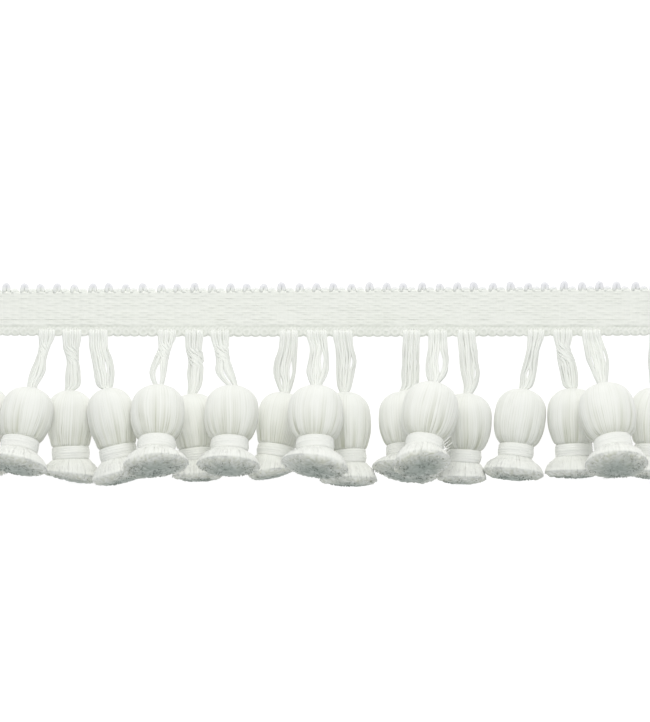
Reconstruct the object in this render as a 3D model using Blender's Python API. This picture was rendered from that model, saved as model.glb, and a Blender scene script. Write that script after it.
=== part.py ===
"""Tassel fringe trim: a cut length of woven tape with picot loops, and onion-headed tassels hung from it.

The trim lies face up. X runs along the tape, +Y points from the tassels to the picots, and Z is up. The
origin is in the middle of the tape's flat back. The tassels lie below the tape, some flat on the surface
and some piled on those beside them. All sizes are metres.
"""

import math
from collections import namedtuple

import bmesh
import bpy
from mathutils import Matrix, Vector

# Gap that touching pieces keep between them, and the wider one between piled heads.
GAP = 0.0003
PILE_GAP = 0.0007

# Heading tape: upright weft ribs, a picot loop on every second rib, small scallops along the lower edge.
# Rib n lies at the shift plus n pitches plus n squared stretches. The upper edge rises to the right, and
# the lower one sags in the middle. Picots differ in height by two waves, and grow towards both ends.
WEFT_PITCH = 0.0026175
WEFT_STRETCH = 0.00000103
WEFTS = 81
TAPE_HALF = WEFTS * WEFT_PITCH / 2
TAPE_TOP = 0.0070
TOP_RISE = 0.0004
TAPE_BORDER = -0.0030
TAPE_BOTTOM = -0.0062
TAPE_SAG = 0.0004
SCALLOP_DEEP = 0.0006
EDGE_THICK = 0.0011
VALLEY_THICK = 0.0013
RIB_THICK = 0.0019
PICOT_HIGH = 0.0021
PICOT_UNEVEN = 0.00020
PICOT_WAVES = (2.4, 5.1)
PICOT_GROWTH = 0.0003
PICOT_SHIFT = -0.00015
PICOT_ROOT = 0.0004

# One repeat of the tape, two ribs wide, from left to right of a picot's middle. offset: metres along the
# tape. picot and scallop: shares of their full height and depth. front: the tape's thickness there.
TapePoint = namedtuple("TapePoint", "offset picot scallop front")
TAPE_REPEAT = (
    TapePoint(-0.00145, 0.00, 0.0, VALLEY_THICK),
    TapePoint(-0.00100, 0.80, 0.7, RIB_THICK),
    TapePoint(0.00000, 1.00, 1.0, RIB_THICK),
    TapePoint(0.00100, 0.76, 0.7, RIB_THICK),
    TapePoint(0.00145, 0.10, 0.0, VALLEY_THICK),
    TapePoint(WEFT_PITCH, 0.35, 1.0, RIB_THICK),
)

# Tassel: yarn head, wrapped neck and flared skirt, measured along the tassel's own axis from its top.
HEAD_LONG = 0.0168
NECK_LONG = 0.0046
SKIRT_LONG = 0.0058
NECK_CORE = 0.0042
NECK_WRAP = 0.0055
HEAD_MIDDLE_SHARE = 0.48
HEAD_MIDDLE = HEAD_MIDDLE_SHARE * HEAD_LONG
DEPTH_SHARE = 0.80
COLUMNS = 16
LOCKS = 8
FLAT_SPOT = 0.0003

# Neck binding: a wound collar round the yarn.
BINDING_SIDES = 12
BINDING_BULGE = 0.00025
BINDING_CLEAR = 0.00065
BINDING_INSET = 1.5 * GAP

# Hanger: a skein of strands fused where it meets the tape and where it enters the head.
STRANDS = 4
STRAND_FILL = 0.85
STRAND_DEEP = 0.0007
STRAND_LAYER = 0.0005
ROOT_LONG = 0.0006
ROOT_DEEP = 0.0011
TOP_HALF = 0.0024
END_HALF = 0.0011
HANGER_Z = 0.0010
LOWEST_STRAND = 0.0001
STATION_STEP = 0.0036
STATION_CLEAR = 0.0012
MM = 0.001

WHITE_YARN = (0.80, 0.82, 0.78)
WHITE_THREAD = (0.84, 0.85, 0.82)
WHITE_TAPE = (0.78, 0.80, 0.76)
YARN_ROUGH = 0.85
THREAD_ROUGH = 0.75
TAPE_ROUGH = 0.90

# One row for each tassel, from left to right. hang: where its hanger leaves the tape. head_x, head_y: the
# middle of its head. half: half the head's width. rim: half the skirt's width. tilt: degrees that the
# skirt's end is raised. lean: degrees that the skirt swings to the right. layer: 0 lies on the surface,
# and a higher layer lies on its lower neighbours. long: its length beside the usual one. slant: degrees
# that its cut is turned, the right end nearer the tape. bend: degrees that the neck bends up. neck: its
# thickness beside the usual one.
Tassel = namedtuple("Tassel", "hang head_x head_y half rim tilt lean layer long slant bend neck")
TASSELS = (
    Tassel(-0.1023, -0.0996, -0.0297, 0.0075, 0.0086, 6.0, -5.0, 0, 0.99, 0.0, 0.0, 1.00),
    Tassel(-0.0810, -0.0861, -0.0297, 0.0077, 0.0094, 21.0, -11.0, 2, 0.96, 0.0, 0.0, 1.00),
    Tassel(-0.0735, -0.0738, -0.0311, 0.0071, 0.0086, 4.5, 1.5, 0, 0.99, -11.0, 0.0, 1.00),
    Tassel(-0.0656, -0.0611, -0.0307, 0.0071, 0.0091, 9.0, 11.0, 1, 1.04, 3.0, 0.0, 1.00),
    Tassel(-0.0449, -0.0471, -0.0293, 0.0080, 0.0096, 27.0, -1.0, 2, 1.01, 7.0, 0.0, 1.00),
    Tassel(-0.0368, -0.0367, -0.0318, 0.0072, 0.0077, 5.0, 4.5, 0, 0.96, -3.0, 0.0, 1.00),
    Tassel(-0.0291, -0.0253, -0.0294, 0.0080, 0.0093, 23.0, -3.0, 2, 0.99, 1.0, 0.0, 1.00),
    Tassel(-0.0084, -0.0107, -0.0313, 0.0072, 0.0069, 10.0, -9.0, 0, 0.95, 22.0, 0.0, 1.00),
    Tassel(-0.0001, -0.0004, -0.0294, 0.0082, 0.0098, 25.0, -1.0, 2, 1.00, -10.0, 0.0, 1.00),
    Tassel(0.0077, 0.0086, -0.0319, 0.0075, 0.0084, 8.0, 2.5, 0, 1.03, -4.0, 0.0, 1.00),
    Tassel(0.0284, 0.0261, -0.0311, 0.0077, 0.0099, 14.0, 1.0, 0, 0.96, -12.0, 9.0, 1.00),
    Tassel(0.0362, 0.0335, -0.0288, 0.0083, 0.0083, 26.0, -9.5, 2, 1.06, 18.0, 12.0, 1.00),
    Tassel(0.0447, 0.0445, -0.0320, 0.0077, 0.0073, 3.5, -4.5, 0, 0.99, 4.0, 0.0, 0.95),
    Tassel(0.0656, 0.0607, -0.0307, 0.0077, 0.0090, 11.0, -7.5, 0, 1.00, 3.0, 0.0, 0.93),
    Tassel(0.0737, 0.0764, -0.0304, 0.0076, 0.0089, 5.0, 1.5, 0, 0.98, 0.0, 0.0, 1.00),
    Tassel(0.0822, 0.0859, -0.0290, 0.0084, 0.0092, 28.0, 8.0, 2, 1.05, -7.0, 5.0, 1.00),
    Tassel(0.1023, 0.1008, -0.0303, 0.0075, 0.0082, 5.0, -3.5, 0, 1.00, 0.0, 0.0, 1.00),
)

# The head's outline. along: share of the head's length. wide: share of its half width.
Turn = namedtuple("Turn", "along wide")
HEAD_OUTLINE = (
    Turn(0.000, 0.17),
    Turn(0.040, 0.44),
    Turn(0.125, 0.74),
    Turn(0.270, 0.94),
    Turn(0.480, 1.00),
    Turn(0.700, 0.98),
    Turn(0.890, 0.87),
    Turn(0.985, 0.76),
)

# A skirt lock's sections outside its root, as shares of the skirt's length and of the rim's half width.
LockSection = namedtuple("LockSection", "outer_along outer_wide inner_along inner_wide fill")
LOCK_SECTIONS = (
    LockSection(0.34, 0.88, 0.60, 0.62, 0.88),
    LockSection(0.72, 1.00, 0.97, 0.66, 0.84),
)
CORE_WIDE = 0.56
CORE_LONG = 0.96

# The band that the locks grow from: how far it reaches down the skirt, and how much it narrows.
ROOT_BAND = 0.22
ROOT_NARROW = 0.92

# One row for each skein, in millimetres. middles and halves: how far the skein's middle stands to the
# right of where it starts, and half its width, at every STATION_STEP below the tape. slits: each with its
# share across, its start and end down, and its width.
Slit = namedtuple("Slit", "share start end wide")
Skein = namedtuple("Skein", "middles halves slits")
SKEINS = (
    Skein((0.0, 0.2, 0.7, 1.2, 1.7), (2.5, 2.1, 1.9, 2.2, 1.9), ()),
    Skein((0.0, -0.7, -1.6, -2.4, -3.6), (2.2, 1.3, 1.3, 2.0, 1.3), ()),
    Skein((0.0, -0.1, 0.4, 0.5, 0.6), (2.6, 2.1, 1.5, 2.0, 2.0), ()),
    Skein((0.0, 0.3, 1.3, 2.1, 2.5), (2.5, 2.6, 2.9, 2.8, 2.2), (Slit(0.26, 5.4, 12.8, 1.1),)),
    Skein((0.0, -0.7, -1.8, -2.4, -2.8), (2.5, 1.6, 2.0, 2.3, 1.6), (Slit(0.0, 5.0, 17.5, 2.2),)),
    Skein((0.0, 0.0, 0.6, 0.4, 0.3), (2.4, 2.2, 2.0, 2.1, 1.7), ()),
    Skein((0.0, 0.5, 1.1, 1.7, 2.3), (2.5, 1.9, 1.8, 2.5, 2.2), (Slit(-0.08, 9.0, 17.0, 1.2),)),
    Skein(
        (0.0, -0.4, -1.0, -1.2, -1.2),
        (2.4, 2.6, 3.0, 3.1, 2.1),
        (Slit(0.50, 4.5, 15.0, 1.2), Slit(-0.40, 10.6, 16.2, 0.9)),
    ),
    Skein((0.0, 0.7, 0.6, 0.2, 0.3), (2.7, 2.4, 2.7, 2.9, 1.5), (Slit(0.40, 2.8, 10.2, 1.2),)),
    Skein((0.0, 0.6, 1.1, 0.8, 0.6), (2.6, 2.5, 2.7, 2.4, 1.9), (Slit(0.60, 4.5, 11.0, 0.9),)),
    Skein((0.0, -0.2, -0.4, -0.5, -0.6), (2.3, 2.3, 2.4, 2.4, 2.1), ()),
    Skein(
        (0.0, 0.0, -0.2, -0.6, -1.3),
        (2.5, 2.6, 3.1, 3.0, 2.3),
        (Slit(0.28, 3.0, 12.4, 1.5), Slit(-0.40, 9.6, 15.4, 0.7)),
    ),
    Skein((0.0, 0.4, 0.8, 1.2, 1.2), (2.4, 2.6, 2.6, 2.5, 1.8), (Slit(0.52, 6.8, 14.6, 0.9),)),
    Skein((0.0, -0.8, -1.5, -2.2, -2.9), (2.3, 1.8, 1.8, 2.1, 1.8), (Slit(-0.14, 8.6, 14.0, 1.2),)),
    Skein((0.0, 0.1, 0.9, 1.5, 2.0), (2.6, 1.8, 2.3, 2.4, 2.0), ()),
    Skein((0.0, 1.0, 1.6, 2.1, 2.3), (2.5, 2.9, 3.0, 2.2, 1.4), (Slit(0.80, 3.0, 9.0, 0.4),)),
    Skein((0.0, -0.2, -0.4, -0.5, -0.6), (2.4, 2.3, 2.5, 2.4, 2.0), ()),
)


def clear_scene():
    """Empties the file of objects."""
    for obj in list(bpy.data.objects):
        bpy.data.objects.remove(obj, do_unlink=True)


def make_material(name, colour, roughness):
    """A plain cloth material."""
    material = bpy.data.materials.new(name)
    material.use_nodes = True
    shader = material.node_tree.nodes["Principled BSDF"]
    shader.inputs["Base Color"].default_value = (*colour, 1.0)
    shader.inputs["Roughness"].default_value = roughness
    shader.inputs["Metallic"].default_value = 0.0
    return material


def loft(bm, rings, capped=True):
    """Joins rings of equally many points with four-sided faces, and closes both ends."""
    rows = [[bm.verts.new(point) for point in ring] for ring in rings]
    for first, second in zip(rows, rows[1:]):
        for i in range(len(first)):
            j = (i + 1) % len(first)
            bm.faces.new((first[i], first[j], second[j], second[i]))
    if capped:
        bm.faces.new(list(reversed(rows[0])))
        bm.faces.new(rows[-1])
    return rows


def finish_object(name, bm, material, collection, smooth=True):
    """Turns the faces outwards and puts the mesh into an object of that name."""
    bmesh.ops.recalc_face_normals(bm, faces=bm.faces)
    mesh = bpy.data.meshes.new(name)
    bm.to_mesh(mesh)
    bm.free()
    mesh.materials.append(material)
    if smooth:
        mesh.shade_smooth()
    obj = bpy.data.objects.new(name, mesh)
    collection.objects.link(obj)
    return obj


def oval(half, along, count):
    """A ring of points round the tassel's axis, flattened in depth."""
    angles = [2 * math.pi * i / count for i in range(count)]
    return [Vector((half * math.cos(a), DEPTH_SHARE * half * math.sin(a), along)) for a in angles]


def tassel_heights():
    """The height of each head's middle: on the surface, or on its lower neighbours.

    Two flattened heads side by side touch where circles of the same half widths would, so the rise is
    the upright side of the triangle of their centres, times the heads' share of depth.
    """
    heights = [DEPTH_SHARE * t.half - FLAT_SPOT for t in TASSELS]
    for layer in (1, 2):
        for i, tassel in enumerate(TASSELS):
            if tassel.layer != layer:
                continue
            for j, other in enumerate(TASSELS):
                reach = tassel.half + other.half + PILE_GAP
                across = abs(tassel.head_x - other.head_x)
                if other.layer < layer and across < reach:
                    rise = DEPTH_SHARE * math.sqrt(reach**2 - across**2)
                    heights[i] = max(heights[i], heights[j] + rise)
    return heights


def tassel_frame(tassel, height):
    """Carries a tassel's own axes, across, up and along, to where the tassel lies."""
    tilt = math.radians(tassel.tilt)
    lean = math.radians(tassel.lean)
    across = Vector((math.cos(lean), math.sin(lean), 0.0))
    along = Vector((math.sin(lean) * math.cos(tilt), -math.cos(lean) * math.cos(tilt), math.sin(tilt)))
    up = along.cross(across)
    middle = Vector((tassel.head_x, tassel.head_y, height))
    top = middle - along * HEAD_MIDDLE * tassel.long
    frame = Matrix.Identity(4)
    for column, axis in enumerate((across, up, along, top)):
        for row in range(3):
            frame[row][column] = axis[row]
    return frame


def settle(bm, tassel, frame):
    """Slants the cut, bends the neck, sets the length, puts the mesh in place and flattens what would sink.

    The bend turns points up about the neck's middle, by nothing at the head and in full past the neck.
    """
    slope = math.tan(math.radians(tassel.slant))
    pivot = HEAD_LONG + NECK_LONG / 2
    for vert in bm.verts:
        skirt = min(max((vert.co.z - HEAD_LONG - NECK_LONG) / SKIRT_LONG, 0.0), 1.0)
        bend = math.radians(tassel.bend) * min(max((vert.co.z - HEAD_LONG) / NECK_LONG, 0.0), 1.0)
        past = vert.co.z - skirt * vert.co.x * slope - pivot
        deep = vert.co.y
        vert.co.y = deep * math.cos(bend) + past * math.sin(bend)
        vert.co.z = (pivot + past * math.cos(bend) - deep * math.sin(bend)) * tassel.long
    bmesh.ops.transform(bm, matrix=frame, verts=bm.verts)
    for vert in bm.verts:
        vert.co.z = max(vert.co.z, 0.0)


def extend_locks(bm, root_faces, tassel):
    """Draws each lock out of its root face, in sections that flare to the rim."""
    start = HEAD_LONG + NECK_LONG
    faces = root_faces
    for section in LOCK_SECTIONS:
        faces = bmesh.ops.extrude_discrete_faces(bm, faces=faces)["faces"]
        for face in faces:
            middle = face.calc_center_median()
            bearing = math.atan2(middle.y / DEPTH_SHARE, middle.x)
            half_turn = section.fill * math.pi / LOCKS
            for vert in face.verts:
                at = math.atan2(vert.co.y / DEPTH_SHARE, vert.co.x)
                side = math.copysign(1.0, math.sin(at - bearing))
                outer = vert.co.z < middle.z
                along = section.outer_along if outer else section.inner_along
                wide = tassel.rim * (section.outer_wide if outer else section.inner_wide)
                turn = bearing + side * half_turn
                vert.co.x = wide * math.cos(turn)
                vert.co.y = DEPTH_SHARE * wide * math.sin(turn)
                vert.co.z = start + SKIRT_LONG * along


def make_tassel(name, tassel, frame, material, collection):
    """One bundle of yarn: the head, the neck under its binding, the skirt's core and its locks."""
    bm = bmesh.new()
    neck_end = HEAD_LONG + NECK_LONG
    rings = [oval(tassel.half * turn.wide, HEAD_LONG * turn.along, COLUMNS) for turn in HEAD_OUTLINE]
    core = NECK_CORE * tassel.neck
    wrap = NECK_WRAP * tassel.neck
    rings.append(oval(core, HEAD_LONG + GAP / 2, COLUMNS))
    rings.append(oval(core, neck_end - GAP / 2, COLUMNS))
    rings.append(oval(wrap - GAP, neck_end + GAP / 2, COLUMNS))
    rings.append(oval(ROOT_NARROW * wrap - GAP, neck_end + ROOT_BAND * SKIRT_LONG, COLUMNS))
    rings.append(oval(CORE_WIDE * tassel.rim, neck_end + CORE_LONG * SKIRT_LONG, COLUMNS))
    rows = loft(bm, rings)
    above = rows[-3]
    below = rows[-2]
    roots = []
    for i in range(0, COLUMNS, COLUMNS // LOCKS):
        edge = bm.edges.get((above[i], above[(i + 1) % COLUMNS]))
        roots += [f for f in edge.link_faces if below[i] in f.verts]
    extend_locks(bm, roots, tassel)
    settle(bm, tassel, frame)
    return finish_object(name, bm, material, collection)


def make_binding(name, tassel, frame, material, collection):
    """The collar of wound thread: an open tube with a full outer side, clear of the yarn inside it."""
    top = HEAD_LONG + BINDING_INSET
    bottom = HEAD_LONG + NECK_LONG - BINDING_INSET
    inner = NECK_CORE * tassel.neck + BINDING_CLEAR
    outer = NECK_WRAP * tassel.neck
    middle = (top + bottom) / 2
    profile = (
        (inner, top),
        (outer - BINDING_BULGE, top),
        (outer + BINDING_BULGE, middle),
        (outer, bottom),
        (inner, bottom),
    )
    bm = bmesh.new()
    rings = [oval(half, along, BINDING_SIDES) for half, along in profile]
    rows = loft(bm, rings, capped=False)
    for i in range(BINDING_SIDES):
        j = (i + 1) % BINDING_SIDES
        bm.faces.new((rows[-1][i], rows[-1][j], rows[0][j], rows[0][i]))
    settle(bm, tassel, frame)
    return finish_object(name, bm, material, collection)


def tape_edge(x):
    """The tape's lower edge above its scallops."""
    return TAPE_BOTTOM - TAPE_SAG * (1 - (x / TAPE_HALF) ** 2)


def strand_section(centre, across, up, wide, deep):
    """Four corners of a strand round its centre."""
    w = across * (wide / 2)
    d = up * (deep / 2)
    return [centre - w - d, centre + w - d, centre + w + d, centre - w + d]


def root_block(bm, centre, across, up, along, half):
    """A flat block whose outer end is plain and whose inner end has one face for each strand."""
    rings = []
    for step in (0.0, ROOT_LONG):
        lower = []
        upper = []
        for i in range(STRANDS + 1):
            place = centre + along * step + across * (half * (2 * i / STRANDS - 1))
            lower.append(place - up * (ROOT_DEEP / 2))
            upper.append(place + up * (ROOT_DEEP / 2))
        rings.append(lower + list(reversed(upper)))
    rows = loft(bm, rings, capped=False)
    bm.faces.new(list(reversed(rows[0])))
    last = len(rows[1]) - 1
    return [[rows[1][i], rows[1][i + 1], rows[1][last - i - 1], rows[1][last - i]] for i in range(STRANDS)]


def strand_edges(skein, side, down, half):
    """Where a strand's two edges lie, as shares of the skein's half width.

    An open slit squeezes the strands on either side of it towards the skein's own edges.
    """
    edges = [side - STRAND_FILL / STRANDS, side + STRAND_FILL / STRANDS]
    for slit in skein.slits:
        way = min(max((down / MM - slit.start) / (slit.end - slit.start), 0.0), 1.0)
        gap = slit.wide * MM / 2 * math.sin(math.pi * way) ** 2 / half
        if side < slit.share:
            squeeze = (1 + slit.share - gap) / (1 + slit.share)
            edges = [(edge + 1) * squeeze - 1 for edge in edges]
        else:
            squeeze = (1 - slit.share - gap) / (1 - slit.share)
            edges = [1 - (1 - edge) * squeeze for edge in edges]
    return edges


def skein_places(tassel, skein, start, finish):
    """The middle of the skein at each station, from the tape's edge to where it enters the head.

    Its height is the cubic that leaves the tape level and meets the head at the head's own tilt.
    """
    drop = start.y - finish.y
    slope = math.tan(math.radians(tassel.tilt)) * drop
    places = [start]
    for i in range(1, len(skein.middles)):
        down = STATION_STEP * i
        if down < drop - STATION_CLEAR:
            t = down / drop
            rise = (finish.z - start.z) * (3 * t**2 - 2 * t**3) + slope * (t**3 - t**2)
            places.append(start + Vector((skein.middles[i] * MM, -down, rise)))
    places.append(finish)
    return places


def make_hanger(name, tassel, skein, frame, material, collection):
    """A skein from the tape's lower edge to the top of the head, in four strands that stand apart."""
    right = Vector((1.0, 0.0, 0.0))
    end_across = frame.col[0].to_3d()
    end_up = frame.col[1].to_3d()
    end_along = frame.col[2].to_3d()
    start = Vector((tassel.hang, tape_edge(tassel.hang) - SCALLOP_DEEP - GAP, HANGER_Z))
    end = frame.translation - end_along * GAP
    bm = bmesh.new()
    first = root_block(bm, start, right, Vector((0.0, 0.0, 1.0)), Vector((0.0, -1.0, 0.0)), TOP_HALF)
    last = root_block(bm, end, end_across, end_up, -end_along, END_HALF)
    places = skein_places(tassel, skein, start, end - end_along * ROOT_LONG)
    for k in range(STRANDS):
        side = 2 * (k + 0.5) / STRANDS - 1
        layer = STRAND_LAYER * (1 if k % 2 else -1)
        rows = [first[k]]
        for i in range(1, len(places) - 1):
            half = skein.halves[i] * MM
            up = (places[i + 1] - places[i - 1]).cross(right).normalized()
            left_edge, right_edge = strand_edges(skein, side, STATION_STEP * i, half)
            centre = places[i] + right * (half * (left_edge + right_edge) / 2) + up * layer
            corners = strand_section(centre, right, up, half * (right_edge - left_edge), STRAND_DEEP)
            rows.append([bm.verts.new(corner) for corner in corners])
        rows.append(last[k])
        for one, two in zip(rows, rows[1:]):
            for i in range(4):
                j = (i + 1) % 4
                bm.faces.new((one[i], one[j], two[j], two[i]))
    for vert in bm.verts:
        vert.co.z = max(vert.co.z, LOWEST_STRAND)
    return finish_object(name, bm, material, collection)


def tape_section(x, picot, scallop, front):
    """One upright section through the tape, from the lower back edge over the front to the upper one."""
    low = tape_edge(x) - scallop
    top = TAPE_TOP + TOP_RISE * x / TAPE_HALF
    return [
        Vector((x, low, 0.0)),
        Vector((x, low, EDGE_THICK)),
        Vector((x, TAPE_BORDER, front)),
        Vector((x, top - PICOT_ROOT, front)),
        Vector((x, top + picot, EDGE_THICK)),
        Vector((x, top + picot, 0.0)),
    ]


def make_heading(material, collection):
    """The woven tape: ribs raised on its face, a picot on every second rib, scallops along the bottom."""
    sections = [tape_section(-TAPE_HALF, 0.0, 0.0, VALLEY_THICK)]
    last_picot = WEFTS // 4
    first_wave, second_wave = PICOT_WAVES
    for i in range(-last_picot - 2, last_picot + 2):
        knob = PICOT_SHIFT + 2 * i * WEFT_PITCH + (2 * i) ** 2 * WEFT_STRETCH
        high = PICOT_HIGH + PICOT_UNEVEN * (math.sin(first_wave * i) + math.sin(second_wave * i) / 2)
        high += PICOT_GROWTH * (i / last_picot) ** 4
        for point in TAPE_REPEAT:
            x = knob + point.offset
            if abs(x) < TAPE_HALF - GAP:
                scallop = SCALLOP_DEEP * point.scallop
                sections.append(tape_section(x, high * point.picot, scallop, point.front))
    sections.append(tape_section(TAPE_HALF, 0.0, 0.0, VALLEY_THICK))
    bm = bmesh.new()
    loft(bm, sections)
    return finish_object("heading", bm, material, collection, smooth=False)


clear_scene()
trim = bpy.data.collections.new("tassel fringe trim")
bpy.context.scene.collection.children.link(trim)
yarn = make_material("white tassel yarn", WHITE_YARN, YARN_ROUGH)
thread = make_material("white binding thread", WHITE_THREAD, THREAD_ROUGH)
tape = make_material("white woven tape", WHITE_TAPE, TAPE_ROUGH)
make_heading(tape, trim)
for number, (row, skein, height) in enumerate(zip(TASSELS, SKEINS, tassel_heights()), start=1):
    place = tassel_frame(row, height)
    make_tassel(f"tassel_{number:02d}", row, place, yarn, trim)
    make_binding(f"binding_{number:02d}", row, place, thread, trim)
    make_hanger(f"hanger_{number:02d}", row, skein, place, thread, trim)
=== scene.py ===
"""White tassel fringe trim: a cut length of woven tape, lying face up, with onion-headed yarn tassels.

X runs along the tape, +Y points from the tassels to the picot loops, Z is up, and all sizes are metres.
"""

import math
from collections import namedtuple

import bpy
import numpy as np
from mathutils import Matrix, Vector


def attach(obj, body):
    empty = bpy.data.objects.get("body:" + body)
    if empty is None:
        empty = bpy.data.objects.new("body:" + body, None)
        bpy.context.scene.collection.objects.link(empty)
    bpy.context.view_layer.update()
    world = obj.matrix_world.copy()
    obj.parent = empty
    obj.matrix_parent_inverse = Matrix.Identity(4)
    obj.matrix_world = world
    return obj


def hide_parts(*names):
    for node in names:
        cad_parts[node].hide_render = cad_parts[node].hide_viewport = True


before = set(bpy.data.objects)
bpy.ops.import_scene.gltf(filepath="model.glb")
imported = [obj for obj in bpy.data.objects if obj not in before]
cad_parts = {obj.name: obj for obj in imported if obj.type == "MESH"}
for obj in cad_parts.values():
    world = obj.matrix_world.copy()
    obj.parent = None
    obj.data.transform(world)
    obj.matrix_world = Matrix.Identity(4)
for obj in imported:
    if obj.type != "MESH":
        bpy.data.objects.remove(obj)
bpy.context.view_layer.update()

# The surface, the light and the camera: a plain white board that glows softly from below, lit by a wide
# soft lamp beyond the picot edge and one overhead, and seen from straight above with a long lens.
FRAME_WIDE = 650
FRAME_HIGH = 722
REAL_PIXEL = 0.00030
TRIM_MIDDLE_PIXEL = (317, 313)
CAMERA_FAR = 1.30
SENSOR_MM = 36.0
BOARD_HALF = 3.0
BOARD_GLOW = "#FFFFFF"
BOARD_GLOW_STRENGTH = 0.85
BOARD_COLOUR = "#8C8C8B"
SKY_COLOUR = "#F3F6F8"
SKY_STRENGTH = 0.62

# Each lamp is a soft square panel that points at the tassels. size: its side in metres. power: in watts.
Lamp = namedtuple("Lamp", "name place size power colour")
LAMP_AIM = (0.0, -0.02, 0.0)
LAMPS = (
    Lamp("lamp beyond the picots", (0.0, 0.75, 0.80), 0.70, 5.7, "#FFFDF8"),
    Lamp("lamp overhead", (0.0, 0.05, 1.60), 1.20, 3.5, "#FFFFFF"),
)


def linear(colour, alpha=1.0):
    """The linear values of an sRGB hex colour: each channel c becomes ((c + 0.055) / 1.055) ** 2.4."""
    channels = np.array([int(colour[i : i + 2], 16) for i in (1, 3, 5)]) / 255
    low = channels / 12.92
    high = ((channels + 0.055) / 1.055) ** 2.4
    return (*np.where(channels <= 0.04045, low, high).tolist(), alpha)


def new_material(name):
    """A node material of that name, with its tree and its Principled shader."""
    material = bpy.data.materials.new(name)
    material.use_nodes = True
    return material, material.node_tree, material.node_tree.nodes["Principled BSDF"]


def hang_lamp(lamp):
    """Puts up a square soft lamp, turned so that its axis runs from its place to the aim."""
    light = bpy.data.lights.new(lamp.name, "AREA")
    light.size = lamp.size
    light.energy = lamp.power
    light.color = linear(lamp.colour)[:3]
    panel = bpy.data.objects.new(lamp.name, light)
    panel.location = lamp.place
    towards = Vector(LAMP_AIM) - Vector(lamp.place)
    panel.rotation_euler = towards.to_track_quat("-Z", "Y").to_euler()
    bpy.context.scene.collection.objects.link(panel)


board_material, _, board_shader = new_material("matt white board")
board_shader.inputs["Base Color"].default_value = linear(BOARD_COLOUR)
board_shader.inputs["Roughness"].default_value = 0.95
board_shader.inputs["Emission Color"].default_value = linear(BOARD_GLOW)
board_shader.inputs["Emission Strength"].default_value = BOARD_GLOW_STRENGTH
board_mesh = bpy.data.meshes.new("board")
board_corners = [(x * BOARD_HALF, y * BOARD_HALF, 0.0) for x, y in ((-1, -1), (1, -1), (1, 1), (-1, 1))]
board_mesh.from_pydata(board_corners, [], [(0, 1, 2, 3)])
board_mesh.materials.append(board_material)
board = bpy.data.objects.new("board", board_mesh)
bpy.context.scene.collection.objects.link(board)

for lamp in LAMPS:
    hang_lamp(lamp)

world = bpy.data.worlds.new("studio")
world.use_nodes = True
world.node_tree.nodes["Background"].inputs["Color"].default_value = linear(SKY_COLOUR)
world.node_tree.nodes["Background"].inputs["Strength"].default_value = SKY_STRENGTH
bpy.context.scene.world = world
bpy.context.scene.view_settings.view_transform = "Standard"

camera_data = bpy.data.cameras.new("camera")
camera_data.lens = SENSOR_MM * CAMERA_FAR / (FRAME_HIGH * REAL_PIXEL)
camera_data.sensor_width = SENSOR_MM
camera = bpy.data.objects.new("camera", camera_data)
camera.location = (
    (FRAME_WIDE / 2 - TRIM_MIDDLE_PIXEL[0]) * REAL_PIXEL,
    (TRIM_MIDDLE_PIXEL[1] - FRAME_HIGH / 2) * REAL_PIXEL,
    CAMERA_FAR,
)
bpy.context.scene.collection.objects.link(camera)
bpy.context.scene.camera = camera


# The heading tape: narrow woven tape of bleached cotton and viscose, with thick upright wefts under fine
# lengthwise warps, a looped braid along its lower edge and turned wefts along the upper one. Here its
# weave is a relief on one closed sheet, with the warps 0.7 mm apart, coarser than real, so that they show.
WEFT_PITCH = 0.0026175
WEFT_STRETCH = 0.00000103
WEFTS = 81
TAPE_HALF = WEFTS * WEFT_PITCH / 2
TAPE_TOP = 0.0070
TOP_RISE = 0.0004
TAPE_BOTTOM = -0.0062
TAPE_SAG = 0.0004
BAND_TOP = -0.0021
BORDER_TOP = -0.0039
BORDER_BLEND = 0.00010
LINE_HALF = 0.00016
LINE_DEEP = 0.00008
STITCH_ROW = -0.0046
STITCH_SLANT = 38.0
STITCH_RISE = 0.00018
STITCH_LONG = 0.00065
STITCH_WIDE = 0.00030
RING_ROW = -0.0058
RING_HALF = 0.00092
RING_THREAD = 0.00034
SCALLOP_DEEP = 0.0006
TURN_HIGH = 0.0005
TAPE_THICK = 0.0014
WARP_PITCH = 0.00070
WARP_RISE = 0.00012
RIB_RISE = 0.00016
EDGE_ROUND = 0.0006
EDGE_REACH = 0.0008
RELIEF_REACH = 0.0005
PICOT_SHIFT = -0.00015
LOOSE_PITCH = 0.0009
PATCH_PITCH = 0.0050
ASIDE_PITCH = 0.0016
ASIDE_SHARE = 0.28
SEWN_BOW = 0.00045
SEWN_JOLT = 0.0003
STEPS_A_WEFT = 10
FRONT_ROWS = 80
EDGE_ROWS = 5
WHITES_WIDE = 0.012
FIBRE_LONG = 0.00045
FIBRE_SLIM = 3.0
FIBRE_RISE = 0.00012


def grid_faces(rows, columns, wrap=False):
    """Four-cornered faces between the neighbours of a rows by columns grid of points, in row order.

    With wrap the last column is joined to the first.
    """
    row, column = np.meshgrid(np.arange(rows - 1), np.arange(columns - (not wrap)), indexing="ij")
    beside = (column + 1) % columns
    corners = (
        row * columns + column,
        row * columns + beside,
        (row + 1) * columns + beside,
        (row + 1) * columns + column,
    )
    return np.stack(corners, axis=-1).reshape(-1, 4)


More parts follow.
